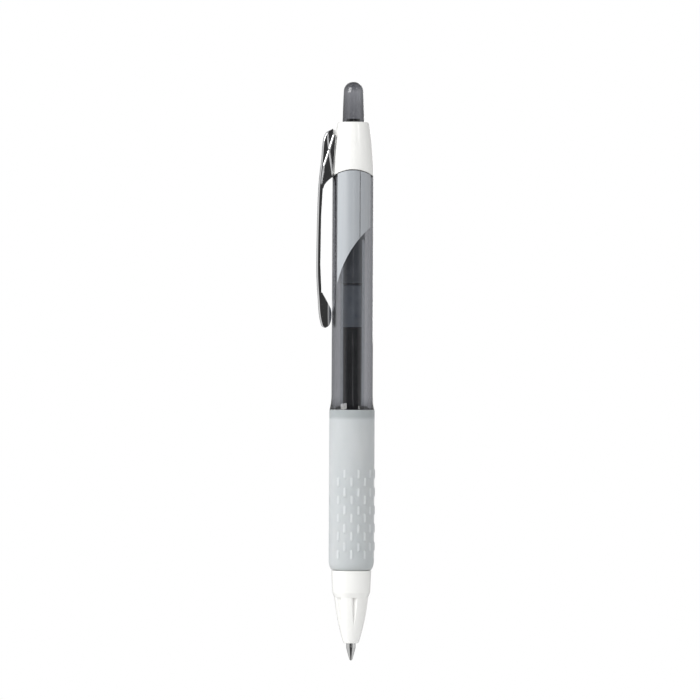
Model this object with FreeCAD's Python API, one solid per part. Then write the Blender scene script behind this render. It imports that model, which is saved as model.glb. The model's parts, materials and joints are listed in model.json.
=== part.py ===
import FreeCAD, Part
import math
import os

# A retractable gel pen with a push button, a soft grip and a steel pocket clip.
# The origin is the lowest point of the writing ball. +Z runs up the pen's axis to the
# button, and the clip is on the -X side. The pen is latched with its tip out. Sizes in mm.

V = FreeCAD.Vector
UP = V(0, 0, 1)
ACROSS = V(0, 1, 0)

# Overall
PEN_TOP = 143.25

# Refill: a standard gel refill, 111 long and 6 across
REFILL_R = 3.0
REFILL_BORE_R = 2.0
REFILL_TOP = 111.0
TUBE_BOTTOM = 22.0
TUBE_TOP = 104.0
FILL_CLEARANCE = 0.01
INK_BOTTOM = 27.0
INK_TOP = 82.5
FOLLOWER_TOP = 93.3
MENISCUS_DEPTH = 0.7
PLUG_SPIGOT = 10.6
VENT_R = 0.5

# Writing tip
BALL_R = 0.25
SOCKET_R = 0.26
LIP_Z = 0.15
LIP_R = 0.31
TIP_R = 1.16
TIP_CONE_TOP = 3.4
TIP_TOP = 15.5
TIP_BORE_R = 0.5
INK_HOLE_R = 0.16
BALL_SPRING_WIRE_R = 0.07
BALL_SPRING_R = 0.33
BALL_SPRING_BOTTOM = 2.3
BALL_SPRING_TOP = 14.3
BALL_SPRING_TURNS = 14

# Holder between the metal tip and the ink tube, with the back-flow valve
HOLDER_BOTTOM = 11.0
HOLDER_R = 1.85
SHOULDER_Z = 19.5
SHOULDER_R = 2.9
VALVE_SEAT_Z = 16.3
VALVE_SEAT_R = 0.7
VALVE_CHAMBER_R = 1.1
VALVE_CHAMBER_TOP = 18.6
VALVE_BALL_R = 0.85
HOLDER_DUCT_R = 0.8

# Return spring
WIRE_SIDES = 12
SPRING_R = 2.2
SPRING_WIRE_R = 0.18
SPRING_TURNS = 8

# Nose cone
NOSE_FRONT = 4.33
NOSE_FRONT_R = 1.77
NOSE_RING_BOTTOM = 16.9
NOSE_RING_BOTTOM_R = 4.70
NOSE_CHAMFER_BOTTOM = 15.7
NOSE_CONE_TOP_R = 4.2
NOSE_TOP = 22.35
NOSE_TOP_R = 4.94
NOSE_HOLE_R = 1.30
SPRING_SEAT_Z = 9.5
SPRING_CHAMBER_R = 2.6
NOSE_GUIDE_R = 3.15
NOSE_GUIDE_BOTTOM = 18.0
FLUTE_COUNT = 6
FLUTE_FIRST_ANGLE = -78.0
FLUTE_BOTTOM = 8.8
FLUTE_TOP_FLOOR_R = 3.30
FLUTE_BOTTOM_FLOOR_R = 3.04
FLUTE_HEIGHT = 1.5
FLUTE_HALF_WIDTH = 1.3

# Screw joint of the nose cone and the barrel
THREAD_PITCH = 1.5
THREAD_TURNS = 3
THREAD_START = 23.6
SPIGOT_R = 3.55
SPIGOT_TOP = 29.2
THREAD_CREST_R = 3.95
THREAD_MINOR_R = 3.70
THREAD_GROOVE_R = 4.10
THREAD_CREST_WIDTH = 0.30
THREAD_ROOT_WIDTH = 0.60
THREAD_CLEARANCE = 0.12

# Barrel
BARREL_R = 5.11
BARREL_BORE_R = 4.15
CORE_R = 4.6
CORE_BOTTOM = 22.6
THREAD_ZONE_TOP = 29.4
FLARE_R = 5.55
FLARE_BOTTOM = 62.1
FLARE_TOP = 65.7
BORE_STEP_Z = 119.5
NECK_R = 4.2
NECK_BORE_R = 3.75
NECK_TOP = 124.3

# Arched seam of the barrel and the collar: a cylinder lying across the pen
SEAM_R = 9.3
SEAM_CENTRE_Z = 112.0
SEAM_GAP = 0.08

# Two film panels bonded to the outside of the barrel, with a clear strip between them on the
# clip side and a narrower one opposite
FILM_THICKNESS = 0.04
FILM_SEAM_GAP = 0.15
FILM_WIDTH_ANGLE = 105.0
FILM_MIDDLE_ANGLE = 85.5
SWOOSH_R = 27.0
SWOOSH_CENTRE_X = 22.5
SWOOSH_CENTRE_Z = 87.2

# Grip sleeve
GRIP_R = 5.61
GRIP_BOTTOM = 22.45
GRIP_BOTTOM_R = 4.95
GRIP_TAPER_TOP = 24.4
GRIP_EDGE = 0.15
DASH_PROUD = 0.18
DASH_R = 0.55
DASH_LENGTH = 2.6
DASH_PITCH = 4.48
DASH_ROWS = 5
DASH_COLUMNS = 15
DASH_STEP_ANGLE = 18.0
DASH_LOW_EVEN = 28.3
DASH_LOW_ODD = 26.4

# Collar
COLLAR_TOP = 133.2
COLLAR_TOP_R = 3.75
COLLAR_EDGE = 0.2
COLLAR_LOW_R = 5.06
COLLAR_BLANK_BOTTOM = 118.0
COLLAR_BORE_R = 4.23
CAVITY_BOTTOM = 124.95
CAVITY_R = 3.5
CAVITY_TOP = 132.6
BUTTON_HOLE_R = 2.85
BOSS_HALF_WIDTH = 1.55
BOSS_FACE_X = -6.1

# Cam guide, thrust crown and rotor of the latch
GUIDE_R = 3.70
GUIDE_BORE_R = 3.45
GUIDE_BOTTOM = 119.9
GUIDE_FLANGE = 0.6
RIB_IN_R = 2.75
RIB_BOTTOM = 121.6
RIB_COUNT = 4
RIB_ANGLE = 50.0
KEY_R = 3.30
KEY_WIDTH = 1.2
CROWN_R = 2.6
CROWN_BORE_R = 1.55
CROWN_BOTTOM = 117.0
CROWN_KEY_TOP = 124.0
CROWN_STUB_R = 1.72
CROWN_TOP = 134.0
TOOTH_COUNT = 8
TOOTH_HEIGHT = 0.8
ROTOR_R = 2.4
ROTOR_BOTTOM = 111.05
ROTOR_FIN_BOTTOM = 112.0
ROTOR_FIN_TOP = 116.0
ROTOR_STEM_R = 1.4
ROTOR_STEM_TOP = 121.0

# Push button
BUTTON_FLANGE_R = 3.3
BUTTON_BOTTOM = 126.2
BUTTON_FLANGE_TOP = 127.2
BUTTON_LOW_R = 2.69
BUTTON_MID_R = 2.52
BUTTON_MID_Z = 138.7
BUTTON_HIGH_R = 2.40
BUTTON_DOME_Z = 141.1
BUTTON_BORE_R = 1.75
BUTTON_BORE_RIM = 140.9
BUTTON_BORE_TOP = 142.3

# Pocket clip: stations up its outer face, as (height, outer x, half width)
CLIP_STATIONS = [
    (131.8, -7.10, 2.25),
    (129.0, -7.48, 2.30),
    (124.0, -7.95, 2.30),
    (118.0, -8.58, 2.15),
    (110.0, -8.88, 1.85),
    (98.0, -9.03, 1.70),
    (90.0, -8.68, 1.60),
    (83.0, -7.85, 1.35),
]
CLIP_CROWN = 0.50
CLIP_SHEET = 0.50
CLIP_INNER_X = -3.9
CLIP_TIP_X = -5.16
CLIP_TIP_HALF_WIDTH = 0.35
BUMP_BOTTOM = 82.0
BUMP_TOP = 92.0


def outline(start, steps, place):
    """A face bounded by a closed path. A step is a point for a line, two points for an arc
    through the first to the second, or more points for a smooth curve through them all."""
    edges = []
    here = place(*start)
    for step in steps:
        if isinstance(step, tuple):
            there = place(*step)
            edges.append(Part.makeLine(here, there))
        elif len(step) == 2:
            there = place(*step[1])
            edges.append(Part.Arc(here, place(*step[0]), there).toShape())
        else:
            through = [place(*point) for point in step]
            there = through[-1]
            curve = Part.BSplineCurve()
            curve.interpolate([here] + through)
            edges.append(curve.toShape())
        here = there
    edges.append(Part.makeLine(here, place(*start)))
    return Part.Face(Part.Wire(edges))


def lathe(start, *steps):
    """Turns an outline of (radius, height) points about the pen's axis."""
    face = outline(start, steps, lambda r, z: V(r, 0, z))
    return face.revolve(V(0, 0, 0), UP, 360)


def slab(half_width, start, *steps):
    """Extrudes a side outline of (x, height) points across the pen."""
    face = outline(start, steps, lambda x, z: V(x, -half_width, z))
    return face.extrude(V(0, 2 * half_width, 0))


def post(bottom, top, start, *steps):
    """Extrudes a plan outline of (x, y) points up from bottom to top."""
    face = outline(start, steps, lambda x, y: V(x, y, bottom))
    return face.extrude(V(0, 0, top - bottom))


def rod(radius, bottom, top):
    return Part.makeCylinder(radius, top - bottom, V(0, 0, bottom))


def tube(outer_r, inner_r, bottom, top):
    return rod(outer_r, bottom, top).cut(rod(inner_r, bottom, top))


def turned(shape, angle):
    copy = shape.copy()
    copy.rotate(V(0, 0, 0), UP, angle)
    return copy


def sector(radius, bottom, top, width_angle, middle_angle):
    """A slice of a cylinder, as a pie, centred on middle_angle about the axis."""
    pie = Part.makeCylinder(radius, top - bottom, V(0, 0, bottom), UP, width_angle)
    return turned(pie, middle_angle - width_angle / 2)


def coil(radius, wire_r, bottom, top, turns):
    """A wire wound into a spring, with a many-sided section square to the wire."""
    pitch = (top - bottom) / turns
    helix = Part.makeHelix(pitch, top - bottom, radius)
    helix.translate(V(0, 0, bottom))
    slope = math.atan2(pitch, 2 * math.pi * radius)
    outward = V(1, 0, 0)
    upward = V(0, -math.sin(slope), math.cos(slope))
    corners = []
    for i in range(WIRE_SIDES + 1):
        angle = 2 * math.pi * i / WIRE_SIDES
        middle = V(radius, 0, bottom)
        corners.append(middle + outward * wire_r * math.cos(angle) + upward * wire_r * math.sin(angle))
    return Part.Wire(helix).makePipeShell([Part.makePolygon(corners)], True, True)


def cap_middle(radius, rim_z, pole_z):
    """Middle of the arc, centred on the axis, from a rim to the pole above or below it."""
    rise = pole_z - rim_z
    ball_r = (radius**2 + rise**2) / (2 * rise)
    half_angle = math.asin(radius / ball_r) / 2
    return (ball_r * math.sin(half_angle), pole_z - ball_r * (1 - math.cos(half_angle)))


def writing_ball():
    return Part.makeSphere(BALL_R, V(0, 0, BALL_R))


def tip_body():
    """Metal cone tip, with a socket that holds the ball and a bore for ink."""
    body = lathe(
        (INK_HOLE_R, LIP_Z),
        (LIP_R, LIP_Z),
        [(0.77, 1.65), (1.14, 3.1)],
        (TIP_R, TIP_CONE_TOP),
        (TIP_R, TIP_TOP),
        (TIP_BORE_R, TIP_TOP),
        (TIP_BORE_R, 1.6),
        (INK_HOLE_R, 1.2),
    )
    return body.cut(Part.makeSphere(SOCKET_R, V(0, 0, BALL_R)))


def ball_spring():
    """Fine spring whose straight end presses on the back of the ball."""
    wire_r = BALL_SPRING_WIRE_R
    bottom = BALL_SPRING_BOTTOM
    needle = rod(wire_r, 2 * BALL_R + 0.01, bottom)
    joint_r = 1.06 * wire_r
    elbow = Part.makeSphere(joint_r, V(0, 0, bottom))
    leg = Part.makeCylinder(wire_r, BALL_SPRING_R, V(0, 0, bottom), V(1, 0, 0))
    knee = Part.makeSphere(joint_r, V(BALL_SPRING_R, 0, bottom))
    wound = coil(BALL_SPRING_R, wire_r, bottom, BALL_SPRING_TOP, BALL_SPRING_TURNS)
    return needle.multiFuse([elbow, leg, knee, wound])


def tip_holder():
    """Plastic holder that grips the metal tip, houses the valve and plugs the tube."""
    return lathe(
        (TIP_R, HOLDER_BOTTOM),
        (HOLDER_R - 0.2, HOLDER_BOTTOM),
        (HOLDER_R, HOLDER_BOTTOM + 0.8),
        (HOLDER_R, SHOULDER_Z),
        (SHOULDER_R - 0.15, SHOULDER_Z),
        (SHOULDER_R, SHOULDER_Z + 0.15),
        (SHOULDER_R, TUBE_BOTTOM),
        (REFILL_BORE_R, TUBE_BOTTOM),
        (REFILL_BORE_R, INK_BOTTOM),
        (HOLDER_DUCT_R, INK_BOTTOM),
        (HOLDER_DUCT_R, VALVE_CHAMBER_TOP),
        (VALVE_CHAMBER_R, VALVE_CHAMBER_TOP - 0.3),
        (VALVE_CHAMBER_R, VALVE_SEAT_Z),
        (VALVE_SEAT_R, VALVE_SEAT_Z),
        (VALVE_SEAT_R, TIP_TOP),
        (TIP_R, TIP_TOP),
    )


def valve_ball():
    """Loose ball that stops ink and air from flowing back, lying on its seat."""
    rise = math.sqrt(VALVE_BALL_R**2 - VALVE_SEAT_R**2) + FILL_CLEARANCE
    return Part.makeSphere(VALVE_BALL_R, V(0, 0, VALVE_SEAT_Z + rise))


def refill_tube():
    return tube(REFILL_R, REFILL_BORE_R, TUBE_BOTTOM, TUBE_TOP)


def ink_column():
    return rod(REFILL_BORE_R - FILL_CLEARANCE, INK_BOTTOM, INK_TOP)


def ink_follower():
    """Grease on top of the ink, with a dished upper face."""
    radius = REFILL_BORE_R - FILL_CLEARANCE
    dish = FOLLOWER_TOP - MENISCUS_DEPTH
    bend = cap_middle(radius, FOLLOWER_TOP, dish)
    return lathe((0, INK_TOP), (radius, INK_TOP), (radius, FOLLOWER_TOP), [bend, (0, dish)])


def tail_plug():
    """End plug of the refill, with a vent hole, which the rotor pushes on."""
    return lathe(
        (VENT_R, TUBE_TOP - PLUG_SPIGOT),
        (REFILL_BORE_R, TUBE_TOP - PLUG_SPIGOT),
        (REFILL_BORE_R, TUBE_TOP),
        (REFILL_R, TUBE_TOP),
        (REFILL_R, REFILL_TOP - 0.4),
        (REFILL_R - 0.4, REFILL_TOP),
        (VENT_R, REFILL_TOP),
    )


def return_spring():
    bottom = SPRING_SEAT_Z + SPRING_WIRE_R
    top = SHOULDER_Z - SPRING_WIRE_R
    return coil(SPRING_R, SPRING_WIRE_R, bottom, top, SPRING_TURNS)


def thread_ridge(root_r, crest_r, extra_width, lead_in_turns):
    """Helical ridge with sloped flanks, which the screw joint's two halves share. The
    lead-in turns carry it on below its start."""
    root = (THREAD_ROOT_WIDTH + extra_width) / 2
    crest = (THREAD_CREST_WIDTH + extra_width) / 2
    corners = [(root_r, -root), (root_r, root), (crest_r, crest), (crest_r, -crest)]
    start = THREAD_START - THREAD_PITCH * lead_in_turns
    height = THREAD_PITCH * (THREAD_TURNS + lead_in_turns)
    points = [V(r, 0, start + z) for r, z in corners]
    section = Part.makePolygon(points + points[:1])
    helix = Part.makeHelix(THREAD_PITCH, height, root_r)
    helix.translate(V(0, 0, start))
    return Part.Wire(helix).makePipeShell([section], True, True)


def flute():
    """Tool for one tapering V groove down the cone, deepest under the ring."""
    sections = []
    for floor_r, z in ((FLUTE_TOP_FLOOR_R, NOSE_CHAMFER_BOTTOM), (FLUTE_BOTTOM_FLOOR_R, FLUTE_BOTTOM)):
        far_r = floor_r + FLUTE_HEIGHT
        corners = [V(floor_r, 0, z), V(far_r, FLUTE_HALF_WIDTH, z), V(far_r, -FLUTE_HALF_WIDTH, z)]
        sections.append(Part.makePolygon(corners + corners[:1]))
    return Part.makeLoft(sections, True, True)


def nose_cone():
    """White cone that screws into the barrel, guides the tip and seats the spring."""
    body = lathe(
        (NOSE_HOLE_R, NOSE_FRONT),
        (NOSE_FRONT_R, NOSE_FRONT),
        [(3.42, 10.3), (NOSE_CONE_TOP_R, NOSE_CHAMFER_BOTTOM)],
        (NOSE_RING_BOTTOM_R, NOSE_RING_BOTTOM),
        (NOSE_TOP_R, NOSE_TOP),
        (SPIGOT_R, NOSE_TOP),
        (SPIGOT_R, SPIGOT_TOP),
        (NOSE_GUIDE_R, SPIGOT_TOP),
        (NOSE_GUIDE_R, NOSE_GUIDE_BOTTOM + 0.5),
        (SPRING_CHAMBER_R, NOSE_GUIDE_BOTTOM),
        (SPRING_CHAMBER_R, SPRING_SEAT_Z),
        (NOSE_HOLE_R, SPRING_SEAT_Z),
    )
    step = 360 / FLUTE_COUNT
    tools = [turned(flute(), FLUTE_FIRST_ANGLE + step * i) for i in range(FLUTE_COUNT)]
    for tool in tools:
        body = body.cut(tool)
    return body.fuse(thread_ridge(SPIGOT_R - 0.1, THREAD_CREST_R, 0.0, 0))


def above_seam(lift):
    """Everything above the arched seam, raised by lift."""
    reach = 7.0
    end_z = SEAM_CENTRE_Z + math.sqrt(SEAM_R**2 - reach**2) + lift
    apex_z = SEAM_CENTRE_Z + SEAM_R + lift
    return slab(
        reach,
        (-reach, end_z),
        [(0, apex_z), (reach, end_z)],
        (reach, PEN_TOP),
        (-reach, PEN_TOP),
    )


def barrel():
    """Smoke-clear tube: the body, a thinner core under the grip and a neck for the collar."""
    top = SEAM_CENTRE_Z + SEAM_R + 1.0
    body = lathe(
        (THREAD_MINOR_R, CORE_BOTTOM),
        (CORE_R, CORE_BOTTOM),
        (CORE_R, FLARE_BOTTOM),
        (FLARE_R, FLARE_BOTTOM),
        [(5.27, 63.6), (BARREL_R, FLARE_TOP)],
        (BARREL_R, top),
        (NECK_BORE_R, top),
        (NECK_BORE_R, BORE_STEP_Z + 0.4),
        (BARREL_BORE_R, BORE_STEP_Z),
        (BARREL_BORE_R, THREAD_ZONE_TOP + 0.4),
        (THREAD_MINOR_R, THREAD_ZONE_TOP),
    )
    body = body.cut(above_seam(0.0))
    body = body.fuse(tube(NECK_R, NECK_BORE_R, BORE_STEP_Z + 0.4, NECK_TOP))
    groove = thread_ridge(THREAD_MINOR_R - 0.2, THREAD_GROOVE_R, 2 * THREAD_CLEARANCE, 1)
    return body.cut(groove)


def barrel_film(middle_angle):
    """Pale film panel bonded to one side of the barrel, with a swept lower edge."""
    top = SEAM_CENTRE_Z + SEAM_R
    film = tube(BARREL_R + FILM_THICKNESS, BARREL_R, SWOOSH_CENTRE_Z, top)
    film = film.cut(above_seam(-FILM_SEAM_GAP))
    panel = sector(2 * BARREL_R, SWOOSH_CENTRE_Z, top, FILM_WIDTH_ANGLE, middle_angle)
    film = film.common(panel)
    start = V(SWOOSH_CENTRE_X, -2 * BARREL_R, SWOOSH_CENTRE_Z)
    return film.cut(Part.makeCylinder(SWOOSH_R, 4 * BARREL_R, start, ACROSS))


def barrel_film_front():
    return barrel_film(-FILM_MIDDLE_ANGLE)


def barrel_film_back():
    return barrel_film(FILM_MIDDLE_ANGLE)


def grip_dash(angle, middle_z):
    """One raised dash: a capsule sunk in the sleeve so that only its crown stands out."""
    axis_r = GRIP_R + DASH_PROUD - DASH_R
    straight = DASH_LENGTH - 2 * DASH_R
    low = middle_z - straight / 2
    capsule = Part.makeCylinder(DASH_R, straight, V(axis_r, 0, low))
    for end_z in (low, low + straight):
        capsule = capsule.fuse(Part.makeSphere(DASH_R, V(axis_r, 0, end_z)))
    return turned(capsule, angle)


def grip_sleeve():
    """Soft sleeve over the barrel's core, with staggered columns of raised dashes that
    leave the clip side smooth."""
    sleeve = lathe(
        (CORE_R, GRIP_BOTTOM + 0.15),
        (GRIP_BOTTOM_R - 0.15, GRIP_BOTTOM),
        [(5.38, 23.2), (GRIP_R, GRIP_TAPER_TOP)],
        (GRIP_R, FLARE_BOTTOM - GRIP_EDGE),
        (GRIP_R - GRIP_EDGE, FLARE_BOTTOM),
        (CORE_R, FLARE_BOTTOM),
    )
    dashes = []
    for column in range(DASH_COLUMNS):
        angle = DASH_STEP_ANGLE * (column - DASH_COLUMNS // 2)
        low_z = DASH_LOW_EVEN if column % 2 else DASH_LOW_ODD
        for row in range(DASH_ROWS):
            dashes.append(grip_dash(angle, low_z + DASH_PITCH * row))
    return sleeve.multiFuse(dashes)


def collar():
    """White end collar with an arched lower edge and a boss that carries the clip."""
    shell = lathe(
        (COLLAR_BORE_R, COLLAR_BLANK_BOTTOM),
        (COLLAR_LOW_R, COLLAR_BLANK_BOTTOM),
        (COLLAR_LOW_R, 119.5),
        [(4.72, 127.0), (COLLAR_TOP_R + COLLAR_EDGE, COLLAR_TOP - 0.35)],
        [(COLLAR_TOP_R + 0.13, COLLAR_TOP - 0.1), (COLLAR_TOP_R, COLLAR_TOP)],
        (BUTTON_HOLE_R, COLLAR_TOP),
        (BUTTON_HOLE_R, CAVITY_TOP),
        (CAVITY_R, CAVITY_TOP),
        (CAVITY_R, CAVITY_BOTTOM),
        (COLLAR_BORE_R, CAVITY_BOTTOM),
    )
    shell = shell.common(above_seam(SEAM_GAP))
    boss = slab(
        BOSS_HALF_WIDTH,
        (-3.8, 131.5),
        (-4.9, 131.2),
        (BOSS_FACE_X, 130.3),
        (BOSS_FACE_X, 121.2),
        (-4.7, 120.4),
        (-3.8, 121.2),
    )
    return shell.fuse(boss.cut(rod(COLLAR_BORE_R, COLLAR_BLANK_BOTTOM, CAVITY_BOTTOM)))


def saw_teeth(inner_r, outer_r, base_z, height):
    """A ring of saw teeth standing on base_z. A negative height points them down."""
    half = outer_r * math.tan(math.pi / TOOTH_COUNT)
    sunk = base_z - math.copysign(0.1, height)
    corners = [(-half, sunk), (half, sunk), (half, base_z + height)]
    points = [V(0, y, z) for y, z in corners]
    wedge = Part.Face(Part.makePolygon(points + points[:1])).extrude(V(outer_r, 0, 0))
    step = 360 / TOOTH_COUNT
    low, high = sorted((sunk, base_z + height))
    ring = tube(outer_r, inner_r, low, high)
    teeth = []
    for i in range(TOOTH_COUNT):
        slice_i = sector(outer_r, low, high, step, step * i)
        teeth.append(turned(wedge, step * i).common(slice_i).common(ring))
    return teeth


def key_bar(angle, bottom, top):
    """A straight key that stands out from the crown or the rotor."""
    width = KEY_WIDTH
    bar = Part.makeBox(KEY_R, width, top - bottom, V(0, -width / 2, bottom))
    return turned(bar, angle).common(rod(KEY_R, bottom, top))


def slot_angles():
    return [360 / RIB_COUNT * (i + 0.5) for i in range(RIB_COUNT)]


def cam_guide():
    """Fixed guide ring: ribs with slots between them, in which the crown's keys run."""
    flange_top = NECK_TOP + GUIDE_FLANGE
    ring = tube(GUIDE_R, GUIDE_BORE_R, GUIDE_BOTTOM, NECK_TOP)
    ring = ring.fuse(tube(NECK_R, GUIDE_BORE_R, NECK_TOP, flange_top))
    for i in range(RIB_COUNT):
        rib = sector(GUIDE_BORE_R + 0.05, RIB_BOTTOM, flange_top, RIB_ANGLE, 360 / RIB_COUNT * i)
        ring = ring.fuse(rib.cut(rod(RIB_IN_R, RIB_BOTTOM, flange_top)))
    return ring


def thrust_crown():
    """Black tube under the button, toothed below, whose keys keep it from turning."""
    body = lathe(
        (CROWN_BORE_R, CROWN_BOTTOM + TOOTH_HEIGHT),
        (CROWN_R, CROWN_BOTTOM + TOOTH_HEIGHT),
        (CROWN_R, BUTTON_BOTTOM),
        (CROWN_STUB_R, BUTTON_BOTTOM),
        (CROWN_STUB_R, CROWN_TOP),
        (0, CROWN_TOP),
        (0, BUTTON_BOTTOM),
        (CROWN_BORE_R, BUTTON_BOTTOM - 1.5),
    )
    pieces = saw_teeth(CROWN_BORE_R, CROWN_R, CROWN_BOTTOM + TOOTH_HEIGHT, -TOOTH_HEIGHT)
    bore = rod(CROWN_R - 0.5, CROWN_BOTTOM, CROWN_KEY_TOP)
    for angle in slot_angles():
        pieces.append(key_bar(angle, CROWN_BOTTOM + TOOTH_HEIGHT, CROWN_KEY_TOP).cut(bore))
    return body.multiFuse(pieces)


def rotor():
    """Turning cam between the crown and the refill, with teeth above and fins round it."""
    teeth_base = ROTOR_FIN_TOP
    body = lathe(
        (0, ROTOR_BOTTOM),
        (ROTOR_R, ROTOR_BOTTOM),
        (ROTOR_R, teeth_base),
        (ROTOR_STEM_R, teeth_base),
        (ROTOR_STEM_R, ROTOR_STEM_TOP - 0.4),
        (ROTOR_STEM_R - 0.4, ROTOR_STEM_TOP),
        (0, ROTOR_STEM_TOP),
    )
    pieces = saw_teeth(ROTOR_STEM_R, ROTOR_R, teeth_base, TOOTH_HEIGHT)
    for angle in slot_angles():
        fin = key_bar(angle, ROTOR_FIN_BOTTOM, ROTOR_FIN_TOP)
        pieces.append(fin.cut(rod(ROTOR_R - 0.5, ROTOR_FIN_BOTTOM, ROTOR_FIN_TOP)))
    return body.multiFuse(pieces)


def button():
    """Smoke-clear hollow cap that the thumb presses, with a flange that the collar holds."""
    dome_bend = cap_middle(BUTTON_HIGH_R, BUTTON_DOME_Z, PEN_TOP)
    bore_bend = cap_middle(BUTTON_BORE_R, BUTTON_BORE_RIM, BUTTON_BORE_TOP)
    return lathe(
        (BUTTON_BORE_R, BUTTON_BOTTOM),
        (BUTTON_FLANGE_R, BUTTON_BOTTOM),
        (BUTTON_FLANGE_R, BUTTON_FLANGE_TOP),
        (BUTTON_LOW_R, BUTTON_FLANGE_TOP),
        (BUTTON_LOW_R, COLLAR_TOP),
        (BUTTON_MID_R, BUTTON_MID_Z),
        (BUTTON_HIGH_R, BUTTON_DOME_Z),
        [dome_bend, (0, PEN_TOP)],
        (0, BUTTON_BORE_TOP),
        [bore_bend, (BUTTON_BORE_R, BUTTON_BORE_RIM)],
    )


def clip_body(inset_x, inset_y):
    """Solid envelope of the clip with a crowned outer face, drawn in by the insets."""
    sections = []
    for z, face_x, half_width in CLIP_STATIONS:
        half = half_width - inset_y
        crest = V(face_x + inset_x, 0, z)
        near = V(face_x + inset_x + CLIP_CROWN, -half, z)
        far = V(face_x + inset_x + CLIP_CROWN, half, z)
        in_near = V(CLIP_INNER_X, -half, z)
        in_far = V(CLIP_INNER_X, half, z)
        edges = [Part.Arc(near, crest, far).toShape()]
        for begin, end in ((far, in_far), (in_far, in_near), (in_near, near)):
            edges.append(Part.makeLine(begin, end))
        sections.append(Part.Wire(edges))
    return Part.makeLoft(sections, True, False)


def clip():
    """Steel pocket clip: a crowned channel with side wings at its root, and a hollow-boat
    bump at its end that bears on the barrel."""
    channel = clip_body(0.0, 0.0).cut(clip_body(CLIP_SHEET, CLIP_SHEET))
    side = slab(
        2 * BOSS_HALF_WIDTH,
        (-4.30, 129.9),
        (-4.95, 129.9),
        (-4.95, 131.5),
        [(-6.45, 130.95), (-7.30, 129.7)],
        (-10.0, 129.7),
        (-10.0, 83.0),
        (-6.9, 83.0),
        [(-7.62, 90.0), (-7.97, 98.0), (-7.82, 110.0), (-7.45, 116.6)],
        [(-6.6, 118.35), (-4.93, 119.8)],
    )
    bump = slab(
        BOSS_HALF_WIDTH,
        (-7.55, 91.2),
        (-6.05, 88.4),
        [(-5.35, 87.0), (CLIP_TIP_X, 85.6)],
        [(-5.6, 83.2), (-6.8, 82.3)],
        [(-7.5, 82.55), (-7.80, 83.3)],
        (-8.35, 88.0),
    )
    wide = CLIP_STATIONS[-1][2]
    boat = post(
        BUMP_BOTTOM,
        BUMP_TOP,
        (-8.6, wide),
        [(-6.4, wide - 0.25), (CLIP_TIP_X + 0.02, CLIP_TIP_HALF_WIDTH)],
        (CLIP_TIP_X + 0.02, -CLIP_TIP_HALF_WIDTH),
        [(-6.4, 0.25 - wide), (-8.6, -wide)],
    )
    return channel.common(side).fuse(bump.common(boat))


NODES = {
    "writing_ball": writing_ball,
    "tip_body": tip_body,
    "ball_spring": ball_spring,
    "tip_holder": tip_holder,
    "valve_ball": valve_ball,
    "refill_tube": refill_tube,
    "ink_column": ink_column,
    "ink_follower": ink_follower,
    "tail_plug": tail_plug,
    "return_spring": return_spring,
    "nose_cone": nose_cone,
    "barrel": barrel,
    "barrel_film_front": barrel_film_front,
    "barrel_film_back": barrel_film_back,
    "grip_sleeve": grip_sleeve,
    "collar": collar,
    "cam_guide": cam_guide,
    "thrust_crown": thrust_crown,
    "rotor": rotor,
    "button": button,
    "clip": clip,
}

os.makedirs("parts", exist_ok=True)
for name, make in NODES.items():
    shape = make().removeSplitter()
    shape.exportStep("parts/" + name + ".step")
    print(name, shape.isValid(), len(shape.Solids), round(shape.Volume, 2))
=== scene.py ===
"""The looks of a retractable gel pen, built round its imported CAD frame. Outlines are in millimetres."""

import json
import math

import bmesh
import bpy
from mathutils import Matrix, Vector


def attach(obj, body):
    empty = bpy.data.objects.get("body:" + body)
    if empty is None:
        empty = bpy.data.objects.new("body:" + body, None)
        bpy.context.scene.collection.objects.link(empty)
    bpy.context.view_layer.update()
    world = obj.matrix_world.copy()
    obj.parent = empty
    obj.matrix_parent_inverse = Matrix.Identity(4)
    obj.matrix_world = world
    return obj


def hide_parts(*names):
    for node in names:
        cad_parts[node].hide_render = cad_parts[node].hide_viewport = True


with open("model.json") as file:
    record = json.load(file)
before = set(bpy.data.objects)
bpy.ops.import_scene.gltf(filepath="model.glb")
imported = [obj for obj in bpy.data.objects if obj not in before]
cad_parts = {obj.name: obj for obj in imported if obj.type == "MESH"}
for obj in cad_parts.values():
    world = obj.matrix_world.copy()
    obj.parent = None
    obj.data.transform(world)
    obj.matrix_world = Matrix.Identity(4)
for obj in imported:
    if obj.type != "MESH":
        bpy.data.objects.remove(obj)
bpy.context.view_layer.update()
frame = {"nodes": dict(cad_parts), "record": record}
MM = 0.001
BODY_OF = {node: body for body, nodes in frame["record"]["behaviour"]["bodies"].items() for node in nodes}

# Barrel
BARREL_R = 5.11
BORE_R = 4.15
CORE_R = 4.6
NECK_R = 4.2
NECK_BORE_R = 3.75
NECK_TOP = 124.3
FLARE_BOTTOM = 62.1
FLARE_TOP = 65.7
THREADED_END = 22.6

# Arched seam of the barrel and the collar: a cylinder lying across the pen
SEAM_R = 9.3
SEAM_CENTRE_Z = 112.0
SEAM_APEX = SEAM_CENTRE_Z + SEAM_R
SEAM_GAP = 0.08

# Film panels on the two sides of the barrel
FILM_R = 5.15
FILM_WIDTH_ANGLE = math.radians(105)
FILM_MIDDLE_ANGLE = math.radians(85.5)
FILM_JOINT_OFFSET = math.radians(15.5)
FILM_JOINT_WIDTH = 0.16
SWOOSH_R = 27.0
SWOOSH_CENTRE = (22.5, 87.2)

# Screw thread of the nose cone and the barrel
THREAD_PITCH = 1.5
THREAD_START = 23.6
THREAD_TURNS = 3
SPIGOT_R = 3.55
THREAD_MINOR_R = 3.70
THREAD_DEPTH = 0.4
THREAD_MESH_STEP = 0.1
THREAD_FADE = 0.12

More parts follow.
